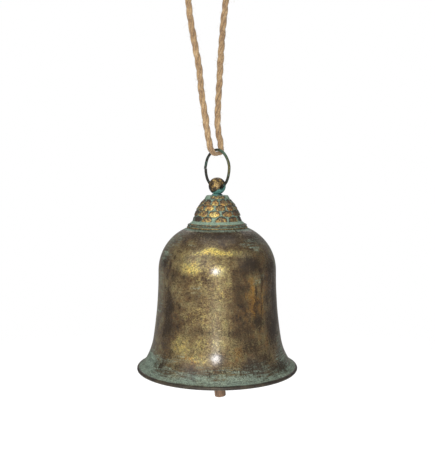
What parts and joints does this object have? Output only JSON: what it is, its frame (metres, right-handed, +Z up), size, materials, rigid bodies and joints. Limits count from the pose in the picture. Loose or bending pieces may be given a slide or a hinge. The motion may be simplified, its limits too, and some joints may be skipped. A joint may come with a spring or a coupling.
{
  "type": "hanging bell",
  "caption": "Hanging bell in the ship-bell shape, with a flared lip, a scaled crown, a ball and wire ring, a rope loop to hang it by, and a swinging wooden striker.",
  "frame": {"origin": "inside of the top of the rope loop, where a hook bears, on the bell's axis", "axes": "+Z up along the bell's axis; the wire ring lies in the XZ plane and the rope loop in the YZ plane"},
  "size_m": [0.1528, 0.1528, 0.4164],
  "materials": {
    "aged_shell": "antique brass, brown and gold, with verdigris",
    "aged_crown": "antique brass with heavy verdigris in the hollows",
    "dark_wire": "darkened wire, satin",
    "plain_steel": "zinc plated, dull",
    "fibre": "vulcanised fibre",
    "striker_wood": "stained hardwood",
    "jute": "twisted natural jute"
  },
  "bodies": {
    "rope": {"jute_rope": "jute", "rope_knot": "jute"},
    "ring": {"hanging_ring": "dark_wire"},
    "bell": {"hanger_ball": "aged_crown", "neck_washer": "aged_crown", "crown_ferrule": "aged_crown", "crown_cap": "aged_crown", "crown_base_plate": "aged_crown", "bell_shell": "aged_shell", "threaded_stem": "plain_steel", "fibre_washer": "fibre", "flat_washer": "plain_steel", "spring_washer": "plain_steel", "hex_nut": "plain_steel", "clapper_eye_nut": "dark_wire"},
    "link": {"clapper_link": "dark_wire"},
    "clapper": {"clapper_rod": "dark_wire", "wooden_striker": "striker_wood"}
  },
  "joints": [
    {"name": "ring_swing", "type": "hinge", "parent": "rope", "child": "ring", "pos_m": [0, 0, -0.19153], "axis": [0, 1, 0], "range_deg": [-35, 35]},
    {"name": "bell_swing", "type": "hinge", "parent": "ring", "child": "bell", "pos_m": [0, 0, -0.2086], "axis": [1, 0, 0], "range_deg": [-60, 60]},
    {"name": "link_swing", "type": "hinge", "parent": "bell", "child": "link", "pos_m": [0, 0, -0.2722], "axis": [0, 1, 0], "range_deg": [-6, 6]},
    {"name": "clapper_swing", "type": "hinge", "parent": "link", "child": "clapper", "pos_m": [0, 0, -0.284], "axis": [1, 0, 0], "range_deg": [-34, 32]}
  ]
}
